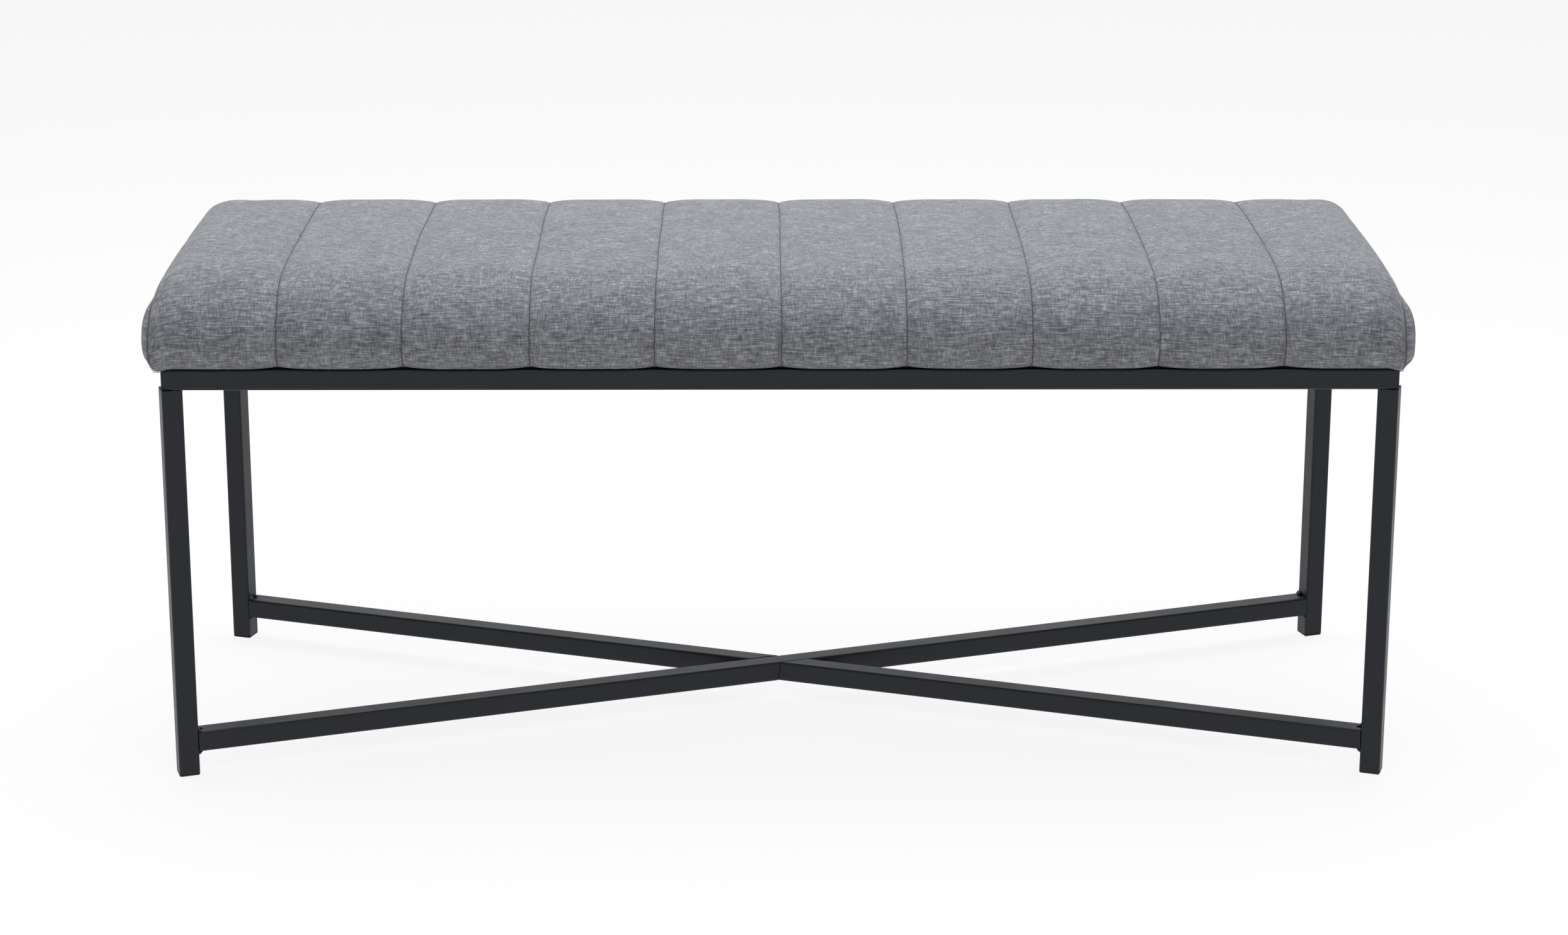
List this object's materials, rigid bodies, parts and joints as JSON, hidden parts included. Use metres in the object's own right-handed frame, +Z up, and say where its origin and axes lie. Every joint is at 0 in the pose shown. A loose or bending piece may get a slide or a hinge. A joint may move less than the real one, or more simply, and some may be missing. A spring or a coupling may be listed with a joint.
{
  "type": "entryway bench",
  "caption": "Upholstered entryway bench: channel-tufted grey seat pad on a slim black square-tube base with crossed diagonal stretchers near the floor.",
  "frame": {"origin": "on the floor under the middle of the bench", "axes": "+X along the bench to its right end, -Y towards the front, +Z up"},
  "size_m": [1.2, 0.436, 0.5],
  "materials": {
    "powder_coated_steel": "satin black powder coat",
    "foot_plastic": "matt black moulded plastic",
    "zinc_steel": "bright zinc plate",
    "bolt_steel": "black oxide",
    "cover_fabric": "grey melange linen-look plain weave",
    "foam": "open-cell polyurethane foam",
    "plywood": "unfinished plywood",
    "dust_cloth": "black non-woven cloth"
  },
  "bodies": {
    "root": {"back_left_foot": "foot_plastic", "back_left_leg": "powder_coated_steel", "back_left_leg_bolt": "bolt_steel", "back_left_lower_weld": "powder_coated_steel", "back_left_nut_plate": "zinc_steel", "back_left_rail_cap": "powder_coated_steel", "back_left_upper_weld": "powder_coated_steel", "back_rail": "powder_coated_steel", "back_right_foot": "foot_plastic", "back_right_leg": "powder_coated_steel", "back_right_leg_bolt": "bolt_steel", "back_right_lower_weld": "powder_coated_steel", "back_right_nut_plate": "zinc_steel", "back_right_rail_cap": "powder_coated_steel", "back_right_upper_weld": "powder_coated_steel", "cover_left_end_panel": "cover_fabric", "cover_right_end_panel": "cover_fabric", "cover_strip_01": "cover_fabric", "cover_strip_02": "cover_fabric", "cover_strip_03": "cover_fabric", "cover_strip_04": "cover_fabric", "cover_strip_05": "cover_fabric", "cover_strip_06": "cover_fabric", "cover_strip_07": "cover_fabric", "cover_strip_08": "cover_fabric", "cover_strip_09": "cover_fabric", "cover_strip_10": "cover_fabric", "dust_cover": "dust_cloth", "foam_block": "foam", "front_left_foot": "foot_plastic", "front_left_leg": "powder_coated_steel", "front_left_leg_bolt": "bolt_steel", "front_left_lower_weld": "powder_coated_steel", "front_left_nut_plate": "zinc_steel", "front_left_rail_cap": "powder_coated_steel", "front_left_upper_weld": "powder_coated_steel", "front_rail": "powder_coated_steel", "front_right_foot": "foot_plastic", "front_right_leg": "powder_coated_steel", "front_right_leg_bolt": "bolt_steel", "front_right_lower_weld": "powder_coated_steel", "front_right_nut_plate": "zinc_steel", "front_right_rail_cap": "powder_coated_steel", "front_right_upper_weld": "powder_coated_steel", "left_cross_bearer": "powder_coated_steel", "left_end_rail": "powder_coated_steel", "over_stretcher": "powder_coated_steel", "right_cross_bearer": "powder_coated_steel", "right_end_rail": "powder_coated_steel", "seat_board": "plywood", "seat_bolt_1": "bolt_steel", "seat_bolt_2": "bolt_steel", "seat_bolt_3": "bolt_steel", "seat_bolt_4": "bolt_steel", "seat_t_nut_1": "zinc_steel", "seat_t_nut_2": "zinc_steel", "seat_t_nut_3": "zinc_steel", "seat_t_nut_4": "zinc_steel", "under_stretcher": "powder_coated_steel"}
  },
  "joints": []
}
